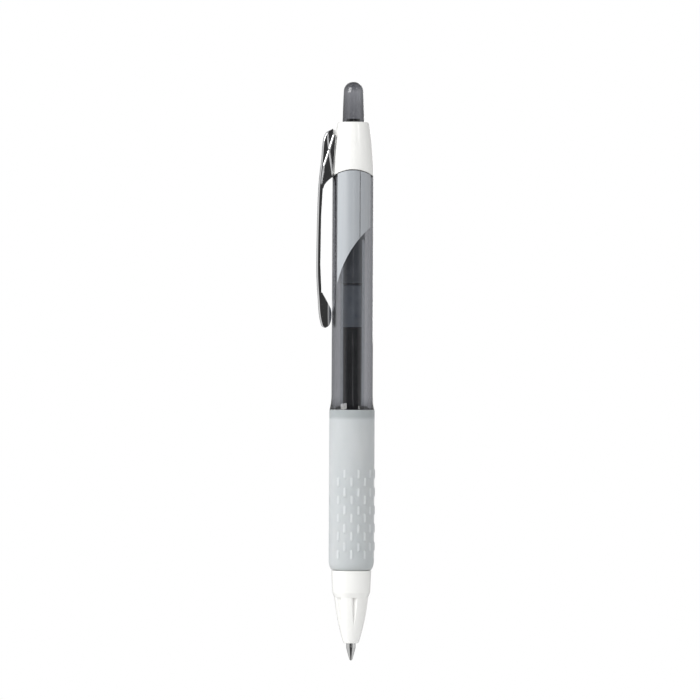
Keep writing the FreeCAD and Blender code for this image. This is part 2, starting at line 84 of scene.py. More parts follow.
# Nose cone flutes
FLUTE_COUNT = 6
FLUTE_FIRST = math.radians(-78)
FLUTE_BOTTOM = 8.8
FLUTE_TOP = 15.7
FLUTE_FLOOR_BOTTOM = 3.04
FLUTE_FLOOR_TOP = 3.30
FLUTE_STEEPNESS = 1.5 / 1.3

# Grip sleeve and its raised dashes
GRIP_R = 5.61
DASH_R = 0.55
DASH_PROUD = 0.18
DASH_STRAIGHT = 1.5
DASH_PITCH = 4.48
DASH_ROWS = 5
DASH_COLUMNS = 15
DASH_STEP = math.radians(18)
DASH_LOW_EVEN = 28.3
DASH_LOW_ODD = 26.4

# Refill: the ink is drawn a hair wider than the tube's bore, so no air shows between them
TUBE_R = 3.0
TUBE_BORE_R = 1.98
TUBE_BOTTOM = 22.0
TUBE_TOP = 104.0
INK_R = 2.0
INK_BOTTOM = 27.0
INK_TOP = 82.46

# Pocket clip: stations down its length, as (height, value)
CLIP_BOTTOM = 82.32
CLIP_TOP = 131.45
CLIP_CREST = [(CLIP_BOTTOM, -6.95), (82.6, -7.5), (83.4, -7.88), (90, -8.68), (98, -9.03), (110, -8.88),
              (118, -8.58), (124, -7.95), (129, -7.48), (129.9, -7.2), (130.95, -6.45), (CLIP_TOP, -5.4)]
CLIP_EDGE = [(CLIP_BOTTOM, -6.6), (83, -6.9), (90, -7.62), (98, -7.97), (110, -7.82), (116.6, -7.45),
             (117.7, -7.05), (118.35, -6.6), (119.2, -5.75), (119.8, -4.93), (129.9, -4.3), (129.95, -4.95),
             (CLIP_TOP, -4.95)]
CLIP_HALF_WIDTH = [(CLIP_BOTTOM, 1.05), (83, 1.35), (90, 1.6), (98, 1.7), (110, 1.85), (118, 2.15),
                   (124, 2.3), (129, 2.3), (CLIP_TOP, 2.2)]
CLIP_CROWN = 0.5
CLIP_SHEET = 0.5
BUMP_BOTTOM = 82.36
BUMP_TOP = 91.0
BUMP_EDGE = [(CLIP_BOTTOM, -6.75), (82.6, -6.1), (83.2, -5.62), (84.3, -5.28), (85.6, -5.16), (87.0, -5.35),
             (88.4, -6.05), (91.2, -7.6)]
BUMP_BACK_X = -8.6
BUMP_REACH = 3.44
WING_CREASES = [[(-6.5, 131.0), (-6.0, 126.1), (-5.1, 120.0)],
                [(-4.8, 130.2), (-6.0, 126.1), (-7.25, 122.4), (-7.85, 118.0)]]
CREASE_HALF_WIDTH = 0.18
CREASE_HEIGHT = 0.10


# ---------------------------------------------------------------- curves and meshes

def circle_through(a, b, c):
    """Centre and radius of the circle through three (r, z) points."""
    ax, ay = a
    bx, by = b
    cx, cy = c
    d = 2 * (ax * (by - cy) + bx * (cy - ay) + cx * (ay - by))
    a2, b2, c2 = ax * ax + ay * ay, bx * bx + by * by, cx * cx + cy * cy
    x = (a2 * (by - cy) + b2 * (cy - ay) + c2 * (ay - by)) / d
    y = (a2 * (cx - bx) + b2 * (ax - cx) + c2 * (bx - ax)) / d
    return (x, y), math.hypot(ax - x, ay - y)


def arc(a, b, c, steps=16):
    """Points along the arc from a through b to c."""
    (x, y), radius = circle_through(a, b, c)
    angles = [math.atan2(p[1] - y, p[0] - x) for p in (a, b, c)]
    turn = (angles[2] - angles[0]) % (2 * math.pi)
    if (angles[1] - angles[0]) % (2 * math.pi) > turn:
        turn -= 2 * math.pi
    sweep = [angles[0] + turn * i / steps for i in range(steps + 1)]
    return [(x + radius * math.cos(t), y + radius * math.sin(t)) for t in sweep]


def dome(radius, rim_z, pole_z, steps=16):
    """Points from a rim to the pole of a cap centred on the axis."""
    rise = pole_z - rim_z
    ball_r = (radius**2 + rise**2) / (2 * rise)
    half = math.asin(radius / abs(ball_r))
    angles = [half * (1 - i / steps) for i in range(steps + 1)]
    return [(abs(ball_r) * math.sin(t), pole_z - ball_r * (1 - math.cos(t))) for t in angles]


def rounded(corners, steps=4):
    """A closed outline whose corners, given as (x, y, radius), are rounded off."""
    points = []
    for i, corner in enumerate(corners):
        here = Vector(corner[:2])
        if len(corner) == 2:
            points.append(here)
            continue
        back = (Vector(corners[i - 1][:2]) - here).normalized()
        ahead = (Vector(corners[(i + 1) % len(corners)][:2]) - here).normalized()
        reach = corner[2] / math.tan(back.angle(ahead) / 2)
        first = here + back * reach
        last = here + ahead * reach
        for k in range(steps + 1):
            t = k / steps
            points.append(first.lerp(here, t).lerp(here.lerp(last, t), t))
    return points


def refined(points, low, high, step):
    """The outline with its stretches between two heights cut into short steps."""
    fine = []
    for i, a in enumerate(points):
        b = points[(i + 1) % len(points)]
        fine.append(a)
        if min(a[1], b[1]) < high and max(a[1], b[1]) > low:
            count = int(abs(b[1] - a[1]) / step)
            fine += [a.lerp(b, (k + 1) / (count + 1)) for k in range(count)]
    return fine


def along(stations, z):
    """Value at a height between (height, value) stations, on a smooth curve."""
    z = min(max(z, stations[0][0]), stations[-1][0])
    i = max(k for k in range(len(stations) - 1) if stations[k][0] <= z)
    (z0, v0), (z1, v1) = stations[i], stations[i + 1]
    mean = (v1 - v0) / (z1 - z0)
    slopes = []
    for k in (i, i + 1):
        if 0 < k < len(stations) - 1:
            before = (stations[k][1] - stations[k - 1][1]) / (stations[k][0] - stations[k - 1][0])
            after = (stations[k + 1][1] - stations[k][1]) / (stations[k + 1][0] - stations[k][0])
            slopes.append((before + after) / 2 if before * after > 0 else 0.0)
        else:
            slopes.append(mean)
    limit = 3 * abs(mean)
    slopes = [max(-limit, min(limit, slope)) for slope in slopes]
    t = (z - z0) / (z1 - z0)
    rise = (z1 - z0) * (t * (1 - t) ** 2 * slopes[0] - t * t * (1 - t) * slopes[1])
    return v0 + (v1 - v0) * t * t * (3 - 2 * t) + rise


def linear(stations, z):
    """Value at a height between (height, value) stations, on straight lines."""
    for (z0, v0), (z1, v1) in zip(stations, stations[1:]):
        if z <= z1:
            return v0 + (v1 - v0) * max(z - z0, 0.0) / (z1 - z0)
    return stations[-1][1]


def finish_mesh(name, points, faces, sharp=40):
    """A smooth-shaded mesh from points in millimetres, with its normals outwards."""
    mesh = bpy.data.meshes.new(name)
    mesh.from_pydata([Vector(p) * MM for p in points], [], faces)
    work = bmesh.new()
    work.from_mesh(mesh)
    bmesh.ops.remove_doubles(work, verts=work.verts, dist=1e-7)
    bmesh.ops.recalc_face_normals(work, faces=work.faces)
    work.to_mesh(mesh)
    work.free()
    mesh.shade_smooth()
    mesh.set_sharp_from_angle(angle=math.radians(sharp))
    return mesh


def lathe(name, outline, segments=96, warp=None):
    """Turns a closed (radius, height) outline about the axis. warp(r, z, angle) may move each point."""
    points = []
    for i in range(segments):
        angle = 2 * math.pi * i / segments
        for r, z in outline:
            if warp:
                r, z = warp(r, z, angle)
            points.append((r * math.cos(angle), r * math.sin(angle), z))
    count = len(outline)
    faces = []
    for i in range(segments):
        for j in range(count):
            a = i * count
            b = (i + 1) % segments * count
            k = (j + 1) % count
            faces.append((a + j, b + j, b + k, a + k))
    return finish_mesh(name, points, faces)


def loft(name, sections):
    """Joins closed sections of equal length into one skin with flat ends."""
    count = len(sections[0])
    points = [p for section in sections for p in section]
    faces = []
    for i in range(len(sections) - 1):
        for j in range(count):
            k = (j + 1) % count
            faces.append((i * count + j, i * count + k, (i + 1) * count + k, (i + 1) * count + j))
    last = (len(sections) - 1) * count
    faces.append(tuple(range(count)))
    faces.append(tuple(range(last, last + count)))
    return finish_mesh(name, points, faces)


def show(name, mesh, node, material):
    """Puts a mesh in the scene in place of a CAD node, on that node's body."""
    mesh.materials.clear()
    mesh.materials.append(material)
    piece = bpy.data.objects.new(name, mesh)
    bpy.context.scene.collection.objects.link(piece)
    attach(piece, BODY_OF[node])
    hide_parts(node)
    return piece


def smooth_min(a, b, softness):
    """The lesser of two radii, with the edge between them eased."""
    blend = max(softness - abs(a - b), 0.0) / softness
    return min(a, b) - blend * blend * softness / 4


def bump_up(distance, half_width):
    """1 at a ridge's middle line, falling smoothly to 0 at its half width."""
    t = min(abs(distance) / half_width, 1.0)
    return (1 - t * t) ** 2


# ---------------------------------------------------------------- shapes

def seam_z(x):
    return SEAM_CENTRE_Z + math.sqrt(SEAM_R**2 - min(abs(x), SEAM_R) ** 2)


def thread_height(z, angle, first_turn, flat_half, foot_half):
    """Height of the helical ridge, from 0 to 1, at a place on the thread."""
    turn = (angle / (2 * math.pi)) % 1.0
    k = round((z - THREAD_START) / THREAD_PITCH - turn)
    k = min(max(k, first_turn), THREAD_TURNS - 1)
    distance = abs(z - THREAD_START - (k + turn) * THREAD_PITCH)
    flank = (foot_half - distance) / (foot_half - flat_half)
    end_fade = min(1.0, (k + turn - first_turn) / THREAD_FADE, (THREAD_TURNS - k - turn) / THREAD_FADE)
    return max(0.0, min(1.0, flank)) * max(0.0, end_fade)


def barrel_mesh():
    outline = [(THREAD_MINOR_R, THREADED_END, 0.1), (CORE_R, THREADED_END, 0.15), (CORE_R, FLARE_BOTTOM)]
    outline += [(5.55, FLARE_BOTTOM, 0.06)]
    outline += arc((5.545, 62.2), (5.27, 63.6), (BARREL_R, FLARE_TOP))
    outline += [(BARREL_R, SEAM_APEX, 0.06), (NECK_R, SEAM_APEX), (NECK_R, NECK_TOP, 0.15)]
    outline += [(NECK_BORE_R, NECK_TOP, 0.1), (NECK_BORE_R, 119.9), (BORE_R, 119.5)]
    outline += [(BORE_R, 29.8), (THREAD_MINOR_R, 29.4)]

    def warp(r, z, angle):
        if r > NECK_R - 0.01 and abs(z - SEAM_APEX) < 0.2:
            return r, z - SEAM_APEX + seam_z(r * math.cos(angle))
        if r < THREAD_MINOR_R + 0.01 and 22.7 < z < 29.3:
            return r + THREAD_DEPTH * thread_height(z, angle, -1, 0.27, 0.37), z
        return r, z

    return lathe("barrel_shell", refined(rounded(outline), 22.0, 29.0, THREAD_MESH_STEP), 120, warp)


def film_mesh(side):
    """A film panel on the front (-1) or the back (1), with a fine joint and a swept lower edge."""
    joint_half = FILM_JOINT_WIDTH / FILM_R / 2
    joint = side * (FILM_MIDDLE_ANGLE - FILM_JOINT_OFFSET)
    low_angle = side * FILM_MIDDLE_ANGLE - FILM_WIDTH_ANGLE / 2
    spans = [(low_angle, joint - joint_half), (joint + joint_half, low_angle + FILM_WIDTH_ANGLE)]
    points = []
    faces = []
    columns_per_turn = 240
    rows = 40
    for start, end in spans:
        columns = int((end - start) / (2 * math.pi) * columns_per_turn)
        base = len(points)
        for i in range(columns + 1):
            angle = start + (end - start) * i / columns
            x = FILM_R * math.cos(angle)
            reach = SWOOSH_R**2 - (x - SWOOSH_CENTRE[0]) ** 2
            low = SWOOSH_CENTRE[1] + math.sqrt(max(reach, 0.0))
            high = seam_z(x) - 0.15
            for r in (BARREL_R + 0.004, FILM_R):
                for j in range(rows + 1):
                    z = low + (high - low) * j / rows
                    points.append((r * math.cos(angle), r * math.sin(angle), z))
        ring = 2 * (rows + 1)
        for i in range(columns):
            for j in range(rows):
                for skin in (0, rows + 1):
                    a = base + i * ring + skin + j
                    faces.append((a, a + ring, a + ring + 1, a + 1))
            for j in (0, rows):
                a = base + i * ring + j
                faces.append((a, a + rows + 1, a + ring + rows + 1, a + ring))
        for i in (0, columns):
            for j in range(rows):
                a = base + i * ring + j
                faces.append((a, a + 1, a + rows + 2, a + rows + 1))
    return finish_mesh("film_strips", points, faces)


def nose_mesh():
    cone = arc((1.97, 4.6), (3.42, 10.3), (4.2, FLUTE_TOP), 60)
    outline = [(1.30, 4.33, 0.05), (1.80, 4.33, 0.12)] + cone
    outline += [(4.21, FLUTE_TOP + 0.02), (4.70, 16.9, 0.25), (4.94, 22.35, 0.15)]
    outline += [(SPIGOT_R, 22.35, 0.05), (SPIGOT_R, 29.2, 0.25), (3.15, 29.2, 0.1)]
    outline += [(3.15, 18.5), (2.6, 18.0), (2.6, 9.5), (1.30, 9.5)]

    def warp(r, z, angle):
        if r > 2.8 and FLUTE_BOTTOM - 1 < z < FLUTE_TOP + 0.01:
            step = 2 * math.pi / FLUTE_COUNT
            offset = abs((angle - FLUTE_FIRST + step / 2) % step - step / 2)
            opening = math.cos(offset) - FLUTE_STEEPNESS * math.sin(offset)
            if opening > 0.4:
                share = (z - FLUTE_BOTTOM) / (FLUTE_TOP - FLUTE_BOTTOM)
                floor_r = FLUTE_FLOOR_BOTTOM + (FLUTE_FLOOR_TOP - FLUTE_FLOOR_BOTTOM) * share
                return smooth_min(r, floor_r / opening, 0.06), z
        if SPIGOT_R - 0.01 < r < SPIGOT_R + 0.01 and 22.5 < z < 28.9:
            return r + THREAD_DEPTH * thread_height(z, angle, 0, 0.15, 0.27), z
        return r, z

    return lathe("nose_shell", refined(rounded(outline), 22.4, 29.0, THREAD_MESH_STEP), 360, warp)


def dash_height(z, angle):
    """How far the grip stands out at a place because of its dashes."""
    column = round(angle / DASH_STEP)
    if abs(column) > DASH_COLUMNS // 2:
        return 0.0
    odd = (column + DASH_COLUMNS // 2) % 2
    low = DASH_LOW_EVEN if odd else DASH_LOW_ODD
    row = min(max(round((z - low) / DASH_PITCH), 0), DASH_ROWS - 1)
    up = max(abs(z - low - row * DASH_PITCH) - DASH_STRAIGHT / 2, 0.0)
    across = GRIP_R * (angle - column * DASH_STEP)
    sunk = DASH_R - DASH_PROUD
    footing = math.sqrt(DASH_R**2 - sunk**2)
    return DASH_PROUD * math.sqrt(bump_up(math.hypot(up, across), 1.1 * footing))


def grip_mesh():
    outline = [(CORE_R, 22.6, 0.05), (4.80, 22.45)] + arc((4.93, 22.47), (5.30, 23.15), (GRIP_R, 24.8), 8)
    outline += [(GRIP_R, 62.1, 0.22), (CORE_R + 0.02, 62.1)]

    def warp(r, z, angle):
        if r > GRIP_R - 0.01:
            facing = (angle + math.pi) % (2 * math.pi) - math.pi
            return r + dash_height(z, facing), z
        return r, z

    return lathe("grip_skin", refined(rounded(outline), 25.0, 48.0, 0.14), 400, warp)


def collar_mesh():
    centre, radius = circle_through((5.06, 119.5), (4.72, 127.0), (3.95, 132.85))
    bottom_z = 119.5
    turn_z = 123.0
    side_top_z = 132.7

    def side_r(z):
        return centre[0] + math.sqrt(radius**2 - (z - centre[1]) ** 2)

    side_heights = [bottom_z, 119.65, 120.2, 121.1, 122.0, turn_z]
    side_heights += [turn_z + (side_top_z - turn_z) * i / 20 for i in range(1, 21)]
    side = [(side_r(z), z) for z in side_heights]
    outline = [(4.23, bottom_z)] + side + [(3.91, 132.95), (3.85, 133.1), (3.72, 133.2), (2.85, 133.2, 0.12)]
    outline += [(2.85, 132.6), (3.5, 132.6), (3.5, 124.95), (4.23, 124.95)]

    def warp(r, z, angle):
        if z > turn_z:
            return r, z
        low = seam_z(r * math.cos(angle)) + SEAM_GAP
        raised = low + (z - bottom_z) / (turn_z - bottom_z) * (turn_z - low)
        if r < 4.3:
            return r, raised
        eased = 0.06 * (1 - min((z - bottom_z) / 0.15, 1.0))
        return side_r(raised) - eased, raised

    return lathe("collar_shell", rounded(outline), 160, warp)


def boss_mesh():
    """Pad on the collar that carries the clip."""
    face_x = -6.1
    top_z = 131.4
    side = rounded([(-3.8, 131.5), (-4.9, 131.2, 0.2), (face_x, 130.3, 0.4), (face_x, 121.2, 0.4),
                    (-4.7, 120.4, 0.2), (-4.35, 121.2), (-4.3, 124.9), (-3.8, 125.0)])
    half = 1.55
    sections = []
    for y, inset in ((-half, 0.12), (-half + 0.05, 0.04), (-half + 0.15, 0.0), (half - 0.15, 0.0),
                     (half - 0.05, 0.04), (half, 0.12)):
        sections.append([(max(x, face_x + inset), y, min(z, top_z - inset)) for x, z in side])
    return loft("collar_boss", sections)


def button_mesh():
    outline = [(1.75, 126.2), (3.3, 126.2, 0.1), (3.3, 127.2, 0.1), (2.69, 127.2), (2.69, 133.2),
               (2.64, 135.0), (2.58, 137.0), (2.51, 138.9), (2.45, 140.2)]
    outline += dome(2.41, 141.05, 143.25, 24) + dome(1.75, 140.9, 142.3, 12)[::-1]
    return lathe("button_cap", rounded(outline))


def near_side(x, z, half):
    """Half width of the clip's side at a place, with the creases that cross its wing."""
    lift = 0.0
    for crease in WING_CREASES:
        for (x0, z0), (x1, z1) in zip(crease, crease[1:]):
            run = Vector((x1 - x0, z1 - z0))
            t = min(max((Vector((x - x0, z - z0)).dot(run)) / run.length_squared, 0.0), 1.0)
            distance = math.hypot(x - x0 - run.x * t, z - z0 - run.y * t)
            lift = max(lift, CREASE_HEIGHT * bump_up(distance, CREASE_HALF_WIDTH))
    return half + lift


def clip_section(z):
    """Channel section of the clip at a height: side, crowned face, side, and back inside."""
    crest = along(CLIP_CREST, z)
    half = along(CLIP_HALF_WIDTH, z)
    edge = max(linear(CLIP_EDGE, z), crest + 0.12)
    depth = edge - crest
    crown = min(CLIP_CROWN, 0.55 * depth)
    sheet = min(CLIP_SHEET, 0.5 * depth)
    corner = crest + crown
    steps = 36
    flank = [(edge + (corner - edge) * i / steps) for i in range(steps + 1)]
    outer = [(x, -near_side(x, z, half - 0.1 * (i == 0))) for i, x in enumerate(flank)]
    crown_steps = 14
    for i in range(1, crown_steps):
        t = 2 * i / crown_steps - 1
        outer.append((crest + crown * abs(t) ** 2.4, half * math.sin(t * math.pi / 2)))
    outer += [(x, -y) for x, y in reversed(outer[: steps + 1])]
    inside = half - sheet
    inner_crest = crest + sheet
    inner_corner = min(corner + sheet * 0.6, edge - 0.03)
    inner = [(edge - 0.02, inside + 0.1), (edge - 0.1 * depth, inside), (inner_corner, inside)]
    inner += [(inner_crest + (inner_corner - inner_crest) * t * t, inside * t) for t in (0.75, 0.4, 0.0)]
    inner += [(x, -y) for x, y in reversed(inner[:-1])]
    return [(x, y, z) for x, y in outer + inner]


def clip_mesh():
    heights = [CLIP_BOTTOM + 0.12 * i for i in range(10)]
    heights += [83.5 + 0.5 * i for i in range(65)]
    heights += [116.0 + 0.1 * i for i in range(139)]
    heights += [129.9, 129.96] + [130.0 + 0.12 * i for i in range(13)]
    heights = sorted(set(h for h in heights if h <= CLIP_TOP))
    return loft("clip_channel", [clip_section(z) for z in heights])


def bump_mesh():
    """Boat-shaped bump at the clip's end, which bears on the barrel."""
    sections = []
    for i in range(61):
        z = BUMP_BOTTOM + (BUMP_TOP - BUMP_BOTTOM) * i / 60
        outer = along(CLIP_CREST, z) + CLIP_CROWN * 0.7
        tip = max(along(BUMP_EDGE, z), outer + 0.15)
        wide = along(CLIP_HALF_WIDTH, z) - 0.06
        half = []
        steps = 14
        for k in range(steps + 1):
            t = k / steps
            x = outer + (tip - outer) * math.sin(t * math.pi / 2)
            reach = (x - BUMP_BACK_X) / BUMP_REACH
            taper = 1 - 0.16 * max(reach, 0.0)
            closing = 0.001 if k == steps else 1.0
            half.append((x, wide * taper * math.sqrt(max(1 - reach ** 7, 0.0)) * closing + 0.04))
        ring = [(x, -y) for x, y in half] + [(x, y) for x, y in reversed(half)]
        sections.append([(x, y, z) for x, y in ring])
    return loft("clip_bump", sections)


def tip_mesh():
    cone = arc((0.34, 0.17), (0.77, 1.65), (1.14, 3.1), 14)
    outline = [(0.2, 0.17), (0.30, 0.145)] + cone + [(1.16, 3.4), (1.16, 15.5, 0.1), (0.5, 15.5), (0.5, 1.6)]
    outline += [(0.16, 1.2), (0.17, 0.45), (0.26, 0.3), (0.262, 0.22)]
    return lathe("tip_cone", rounded(outline), 64)


# ---------------------------------------------------------------- materials

def new_material(name, **sockets):
    """A node material whose Principled sockets are set directly; underscores stand for spaces."""
    material = bpy.data.materials.new(name)
    material.use_nodes = True
    shader = material.node_tree.nodes["Principled BSDF"]
    for socket, value in sockets.items():
        shader.inputs[socket.replace("_", " ")].default_value = value
    return material


def node(material, kind, **inputs):
    made = material.node_tree.nodes.new(kind)
    for socket, value in inputs.items():
        made.inputs[socket.replace("_", " ")].default_value = value
    return made


def pattern(material, scale, stretch=(1, 1, 1), detail=3.0):
    """Noise in the pen's own space; stretch below 1 draws it out along that axis. Returns its strength."""
    place = node(material, "ShaderNodeTexCoord")
    mapping = node(material, "ShaderNodeMapping", Scale=stretch)
    material.node_tree.links.new(place.outputs["Object"], mapping.inputs["Vector"])
    texture = node(material, "ShaderNodeTexNoise", Scale=scale, Detail=detail)
    material.node_tree.links.new(mapping.outputs["Vector"], texture.inputs["Vector"])
    return texture.outputs["Fac"]


def tint(material, texture, dark, light):
    """Runs the base colour between two close tones."""
    ramp = node(material, "ShaderNodeValToRGB")
    ramp.color_ramp.elements[0].position = 0.35
    ramp.color_ramp.elements[1].position = 0.65
    ramp.color_ramp.elements[0].color = (*dark, 1)
    ramp.color_ramp.elements[1].color = (*light, 1)
    material.node_tree.links.new(texture, ramp.inputs["Fac"])
    shader = material.node_tree.nodes["Principled BSDF"]
    material.node_tree.links.new(ramp.outputs["Color"], shader.inputs["Base Color"])


def ramp_base_colour(material, measure, low, high, colour):
    """Runs the base colour to another one as a measured length goes from low to high, in millimetres."""
    rise = node(material, "ShaderNodeMapRange", From_Min=low * MM, From_Max=high * MM)
    mix = node(material, "ShaderNodeMixRGB", Color2=(*colour, 1))
    links = material.node_tree.links
    base = material.node_tree.nodes["Principled BSDF"].inputs["Base Color"]
    links.new(measure, rise.inputs["Value"])
    links.new(rise.outputs["Result"], mix.inputs["Fac"])
    links.new(base.links[0].from_socket, mix.inputs["Color1"])
    links.new(mix.outputs["Color"], base)


def coordinate(material, axis):
    """Place along one of the pen's axes."""
    place = node(material, "ShaderNodeTexCoord")
    split = node(material, "ShaderNodeSeparateXYZ")
    material.node_tree.links.new(place.outputs["Object"], split.inputs["Vector"])
    return split.outputs[axis]


def axis_distance(material):
    """Distance from the pen's axis."""
    place = node(material, "ShaderNodeTexCoord")
    level = node(material, "ShaderNodeVectorMath")
    level.operation = "MULTIPLY"
    level.inputs[1].default_value = (1, 1, 0)
    radius = node(material, "ShaderNodeVectorMath")
    radius.operation = "LENGTH"
    material.node_tree.links.new(place.outputs["Object"], level.inputs[0])
    material.node_tree.links.new(level.outputs["Vector"], radius.inputs[0])
    return radius.outputs["Value"]


def vary_roughness(material, texture, low, high):
    ramp = node(material, "ShaderNodeMapRange", To_Min=low, To_Max=high)
    material.node_tree.links.new(texture, ramp.inputs["Value"])
    shader = material.node_tree.nodes["Principled BSDF"]
    material.node_tree.links.new(ramp.outputs["Result"], shader.inputs["Roughness"])


def relief(material, texture, depth_mm, strength=1.0):
    bump = node(material, "ShaderNodeBump", Strength=strength, Distance=depth_mm * MM)
    material.node_tree.links.new(texture, bump.inputs["Height"])
    shader = material.node_tree.nodes["Principled BSDF"]
    material.node_tree.links.new(bump.outputs["Normal"], shader.inputs["Normal"])


def absorb(material, colour, density):
    volume = node(material, "ShaderNodeVolumeAbsorption", Color=(*colour, 1), Density=density)
    output = material.node_tree.nodes["Material Output"]
    material.node_tree.links.new(volume.outputs["Volume"], output.inputs["Volume"])


def smoke_clear(name="smoke_clear", density=730):
    """Polished smoke-tinted plastic, whose colour comes from its thickness."""
    material = new_material(name, Base_Color=(1, 1, 1, 1), IOR=1.54, Transmission_Weight=1.0)
    flow = pattern(material, 300, (1, 1, 0.05), 1.0)
    vary_roughness(material, flow, 0.0, 0.03)
    relief(material, flow, 0.0012, 0.15)
    absorb(material, (0.06, 0.07, 0.12), density)
    return material


def pale_film():
    """Silvery film with a clear lacquer and fine streaks; painted shade makes it darker towards the side
    away from the clip and the key lamp.
    """
    material = new_material("pale_film", IOR=1.5, Coat_Weight=1.0, Coat_Roughness=0.02)
    streaks = pattern(material, 700, (1, 1, 0.04), 3.0)
    tint(material, streaks, (0.44, 0.47, 0.50), (0.48, 0.505, 0.53))
    # Painted shade: the base colour darkens along X, towards the side that the key lamp leaves in shade.
    ramp_base_colour(material, coordinate(material, "X"), -3.2, 3.6, (0.33, 0.35, 0.375))
    vary_roughness(material, streaks, 0.28, 0.4)
    relief(material, pattern(material, 2600), 0.003, 0.4)
    return material


def milky_grip():
    """Soft milky elastomer that lets light in a little way, with painted shade darkening its top where it
    meets the barrel and a painted highlight making its dashes paler.
    """
    material = new_material("milky_grip", IOR=1.45, Subsurface_Weight=1.0, Subsurface_Scale=0.0018)
    shader = material.node_tree.nodes["Principled BSDF"]
    shader.inputs["Subsurface Radius"].default_value = (1.0, 1.0, 1.05)
    clouds = pattern(material, 160, (1, 1, 0.4), 4.0)
    tint(material, clouds, (0.54, 0.57, 0.58), (0.59, 0.61, 0.62))
    # Painted shade: a darker band at the grip's top, where it meets the barrel.
    ramp_base_colour(material, coordinate(material, "Z"), 59.6, 60.4, (0.42, 0.45, 0.46))
    # Painted highlight: the raised dashes are paler, as if catching the light.
    ramp_base_colour(material, axis_distance(material), GRIP_R + 0.04, GRIP_R + DASH_PROUD, (0.66, 0.685, 0.695))
    fine = pattern(material, 3200, detail=2.0)
    vary_roughness(material, fine, 0.36, 0.52)
    relief(material, fine, 0.012, 0.5)
    return material


def white_plastic(name="white_plastic", shade=0.9, gloss=0.16):
    """Moulded plastic with a faint flow pattern and a glossy, slightly uneven skin."""
    material = new_material(name, IOR=1.5, Coat_Weight=0.3, Coat_Roughness=0.05)
    flow = pattern(material, 110, (1, 1, 0.3), 3.0)
    tint(material, flow, (shade, shade, shade * 0.975), (shade + 0.03, shade + 0.03, shade + 0.01))
    skin = pattern(material, 1500, detail=4.0)
    vary_roughness(material, skin, gloss, gloss + 0.12)
    relief(material, skin, 0.006, 0.35)
    return material


def black_plastic():
    material = new_material("black_plastic", IOR=1.5)
    skin = pattern(material, 1400, detail=4.0)
    tint(material, skin, (0.012, 0.012, 0.013), (0.022, 0.022, 0.023))
    vary_roughness(material, skin, 0.3, 0.45)
    relief(material, skin, 0.008, 0.4)
    return material


def grey_plastic():
    """Smoky grey plastic of the refill's end plug."""
    material = new_material("grey_plastic", IOR=1.5)
    skin = pattern(material, 700, (1, 1, 0.3), 3.0)
    tint(material, skin, (0.24, 0.26, 0.29), (0.30, 0.32, 0.35))
    vary_roughness(material, skin, 0.3, 0.42)
    relief(material, skin, 0.006, 0.4)
    return material


def holder_plastic():
    """Natural, slightly waxy plastic of the tip holder."""
    material = new_material("holder_plastic", IOR=1.49, Subsurface_Weight=0.6, Subsurface_Scale=0.0012)
    skin = pattern(material, 900, detail=3.0)
    tint(material, skin, (0.74, 0.75, 0.73), (0.80, 0.81, 0.79))
    vary_roughness(material, skin, 0.3, 0.45)
    relief(material, skin, 0.008, 0.4)
    return material


def refill_plastic():
    """Clear drawn tube with faint lines along its length."""
    material = new_material("refill_plastic", Base_Color=(1, 1, 1, 1), IOR=1.15, Transmission_Weight=1.0)
    lines = pattern(material, 1100, (1, 1, 0.01), 2.0)
    vary_roughness(material, lines, 0.02, 0.1)
    relief(material, lines, 0.004, 0.4)
    absorb(material, (0.70, 0.74, 0.76), 300)
    return material


def black_ink():
    material = new_material("black_ink", IOR=1.36)
    swirl = pattern(material, 260, (1, 1, 0.1), 1.0)
    tint(material, swirl, (0.006, 0.0065, 0.009), (0.011, 0.012, 0.015))
    vary_roughness(material, swirl, 0.35, 0.45)
    return material


def grease():
    """Translucent grey-blue grease that floats on the ink, with a dark band at its upper end."""
    material = new_material("grease", IOR=1.42)
    clouds = pattern(material, 500, detail=4.0)
    tint(material, clouds, (0.40, 0.44, 0.50), (0.46, 0.50, 0.56))
    ramp_base_colour(material, coordinate(material, "Z"), 92.5, 92.9, (0.05, 0.055, 0.07))
    vary_roughness(material, clouds, 0.2, 0.4)
    relief(material, clouds, 0.02, 0.5)
    return material


def turned_steel(name="turned_steel", colour=0.60, low=0.10, high=0.22):
    """Steel with the fine rings that turning leaves."""
    material = new_material(name, Metallic=1.0)
    rings = pattern(material, 4200, (0.03, 0.03, 1), 2.0)
    tint(material, rings, (colour - 0.06,) * 3, (colour + 0.03, colour + 0.03, colour + 0.02))
    vary_roughness(material, rings, low, high)
    relief(material, rings, 0.0015, 0.3)
    return material


def spring_wire():
    material = new_material("spring_wire", Metallic=1.0)
    marks = pattern(material, 2400, detail=5.0)
    tint(material, marks, (0.42, 0.41, 0.40), (0.60, 0.60, 0.60))
    vary_roughness(material, marks, 0.18, 0.34)
    relief(material, marks, 0.004, 0.4)
    return material


def clip_chrome():
    """Bright plating with a trace of polishing lines along the clip."""
    material = new_material("clip_chrome", Metallic=1.0)
    lines = pattern(material, 1900, (1, 1, 0.03), 3.0)
    tint(material, lines, (0.66, 0.66, 0.67), (0.74, 0.74, 0.745))
    vary_roughness(material, lines, 0.02, 0.06)
    relief(material, lines, 0.0015, 0.25)
    return material


def floor_paper():
    material = new_material("floor_paper")
    fibres = pattern(material, 60, detail=5.0)
    tint(material, fibres, (0.86, 0.86, 0.86), (0.89, 0.89, 0.89))
    vary_roughness(material, fibres, 0.75, 0.9)
    return material


# ---------------------------------------------------------------- the pen

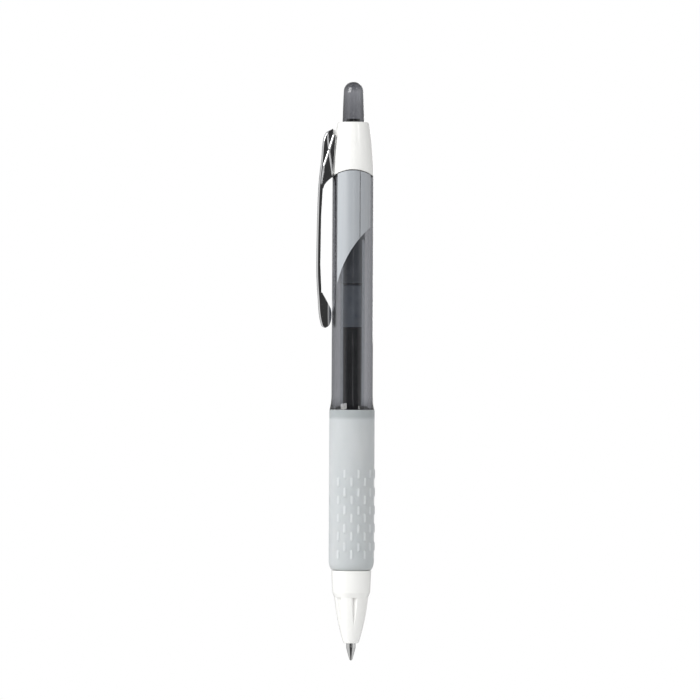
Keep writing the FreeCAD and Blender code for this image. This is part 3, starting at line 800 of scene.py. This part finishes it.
def build_pieces():
    smoke = smoke_clear()
    white = white_plastic()
    ink = black_ink()
    steel = turned_steel()
    show("barrel_shell", barrel_mesh(), "barrel", smoke)
    film = pale_film()
    show("film_front", film_mesh(-1), "barrel_film_front", film)
    show("film_back", film_mesh(1), "barrel_film_back", film)
    show("grip_skin", grip_mesh(), "grip_sleeve", milky_grip())
    show("collar_shell", collar_mesh(), "collar", white)
    show("collar_boss", boss_mesh(), "collar", white)
    show("nose_shell", nose_mesh(), "nose_cone", white)
    show("button_cap", button_mesh(), "button", smoke_clear("smoke_button", 1150))
    show("tip_cone", tip_mesh(), "tip_body", steel)
    chrome = clip_chrome()
    show("clip_channel", clip_mesh(), "clip", chrome)
    show("clip_bump", bump_mesh(), "clip", chrome)
    tube = rounded([(TUBE_BORE_R, TUBE_BOTTOM, 0.05), (TUBE_R, TUBE_BOTTOM, 0.12),
                    (TUBE_R, TUBE_TOP, 0.1), (TUBE_BORE_R, TUBE_TOP, 0.05)])
    show("ink_tube", lathe("ink_tube", tube), "refill_tube", refill_plastic())
    column = rounded([(0, INK_BOTTOM), (INK_R, INK_BOTTOM), (INK_R, INK_TOP, 0.03), (0, INK_TOP)])
    show("ink_fill", lathe("ink_fill", column), "ink_column", ink)
    plug = rounded([(0, 82.5), (INK_R, 82.5, 0.03), (INK_R, 93.3)] + dome(INK_R, 93.3, 92.6, 12)[1:])
    show("grease_plug", lathe("grease_plug", plug), "ink_follower", grease())
    inner_white = white_plastic("inner_white", 0.8, 0.34)
    black = black_plastic()
    wire = spring_wire()
    kept = {"cam_guide": inner_white, "rotor": inner_white, "thrust_crown": black,
            "tail_plug": grey_plastic(), "tip_holder": holder_plastic(), "valve_ball": steel,
            "ball_spring": wire, "return_spring": wire,
            "writing_ball": turned_steel("carbide", 0.35, 0.08, 0.16)}
    for name, material in kept.items():
        mesh = frame["nodes"][name].data
        mesh.materials.clear()
        mesh.materials.append(material)


# ---------------------------------------------------------------- studio

def build_floor():
    """A round pale floor under the pen, too small to cross the straight-on view."""
    floor_z = -30.0
    points = [(0, 0, floor_z)]
    count = 96
    turns = [2 * math.pi * i / count for i in range(count)]
    for radius in (60.0, 250.0):
        points += [(radius * math.cos(turn), radius * math.sin(turn), floor_z) for turn in turns]
    faces = [(0, 1 + i, 1 + (i + 1) % count) for i in range(count)]
    for i in range(count):
        k = (i + 1) % count
        faces.append((1 + i, 1 + count + i, 1 + count + k, 1 + k))
    mesh = finish_mesh("floor", points, faces)
    mesh.materials.append(floor_paper())
    floor = bpy.data.objects.new("floor", mesh)
    bpy.context.scene.collection.objects.link(floor)
    floor.visible_glossy = False


def softbox(name, azimuth, height, distance, width, tall, radiance):
    """An area lamp aimed at the pen. Azimuth is in degrees to the right of the camera."""
    angle = math.radians(azimuth)
    middle = Vector((0, 0, 0.075))
    place = middle + Vector((math.sin(angle) * distance, -math.cos(angle) * distance, height))
    lamp = bpy.data.lights.new(name, "AREA")
    lamp.shape = "RECTANGLE"
    lamp.size = width
    lamp.size_y = tall
    lamp.energy = radiance * math.pi * width * tall
    obj = bpy.data.objects.new(name, lamp)
    obj.visible_camera = False
    obj.visible_transmission = False
    obj.location = place
    obj.rotation_euler = (middle - place).to_track_quat("-Z", "Y").to_euler()
    bpy.context.scene.collection.objects.link(obj)


def build_lamps():
    softbox("key", -48, 0.38, 0.70, 0.50, 0.42, 6.8)
    softbox("spot", 37, 0.32, 0.70, 0.10, 0.16, 5.0)
    softbox("fill", 80, 0.05, 0.80, 0.40, 0.60, 0.3)
    softbox("back", 170, 0.25, 0.80, 0.50, 0.50, 1.5)
    softbox("strip", 3.4, 0.0, 1.6, 0.06, 1.2, 2.2)


def eased(tree, value, low, high, low_result, high_result):
    """A value taken smoothly from one range to another."""
    ramp = tree.nodes.new("ShaderNodeMapRange")
    ramp.interpolation_type = "SMOOTHSTEP"
    tree.links.new(value, ramp.inputs["Value"])
    settings = {"From Min": low, "From Max": high, "To Min": low_result, "To Max": high_result}
    for socket, setting in settings.items():
        ramp.inputs[socket].default_value = setting
    return ramp.outputs["Result"]


def combined(tree, operation, first, second):
    maths = tree.nodes.new("ShaderNodeMath")
    maths.operation = operation
    tree.links.new(first, maths.inputs[0])
    tree.links.new(second, maths.inputs[1])
    return maths.outputs["Value"]


def level_heading(tree):
    """How far a direction points away from the camera's side, with its height left out."""
    place = tree.nodes.new("ShaderNodeTexCoord")
    level = tree.nodes.new("ShaderNodeVectorMath")
    level.operation = "MULTIPLY"
    level.inputs[1].default_value = (1, 1, 0)
    heading = tree.nodes.new("ShaderNodeVectorMath")
    heading.operation = "NORMALIZE"
    split = tree.nodes.new("ShaderNodeSeparateXYZ")
    tree.links.new(place.outputs["Generated"], level.inputs[0])
    tree.links.new(level.outputs["Vector"], heading.inputs[0])
    tree.links.new(heading.outputs["Vector"], split.inputs["Vector"])
    return split.outputs["Y"]


def build_world():
    """Bright surroundings: white where they are seen, softer where they light the pen, with a dark card
    in front for the polished metal to mirror."""
    world = bpy.data.worlds.new("studio")
    bpy.context.scene.world = world
    world.use_nodes = True
    tree = world.node_tree
    background = tree.nodes["Background"]
    path = tree.nodes.new("ShaderNodeLightPath")
    heading = level_heading(tree)
    card = eased(tree, heading, -0.92, -0.70, 0.05, 0.85)
    behind = eased(tree, heading, 0.3, 0.8, 1.0, 0.5)
    lit = tree.nodes.new("ShaderNodeMix")
    lit.inputs["A"].default_value = 0.57
    tree.links.new(path.outputs["Is Glossy Ray"], lit.inputs["Factor"])
    tree.links.new(combined(tree, "MULTIPLY", card, behind), lit.inputs["B"])
    seen = combined(tree, "MAXIMUM", path.outputs["Is Camera Ray"], path.outputs["Is Transmission Ray"])
    strength = tree.nodes.new("ShaderNodeMix")
    strength.inputs["B"].default_value = 1.0
    tree.links.new(seen, strength.inputs["Factor"])
    tree.links.new(lit.outputs["Result"], strength.inputs["A"])
    background.inputs["Color"].default_value = (1, 1, 1, 1)
    tree.links.new(strength.outputs["Result"], background.inputs["Strength"])


def build_camera():
    """A long lens, level with the middle of the pen, tipped so that the pen leans a little to the right."""
    distance = 1.2
    frame_width = 0.17325
    lens = bpy.data.cameras.new("camera")
    lens.sensor_width = 36
    lens.lens = lens.sensor_width * distance / frame_width
    camera = bpy.data.objects.new("camera", lens)
    lean = Matrix.Rotation(math.radians(0.275), 4, "Z")
    upright = Matrix.Rotation(math.pi / 2, 4, "X")
    camera.matrix_world = Matrix.Translation((-0.00057, -distance, 0.07685)) @ upright @ lean
    bpy.context.scene.collection.objects.link(camera)
    bpy.context.scene.camera = camera


def set_picture():
    scene = bpy.context.scene
    scene.view_settings.view_transform = "Standard"
    scene.cycles.max_bounces = 24
    scene.cycles.transmission_bounces = 24
    scene.cycles.transparent_max_bounces = 24


build_pieces()
build_floor()
build_lamps()
build_world()
build_camera()
set_picture()
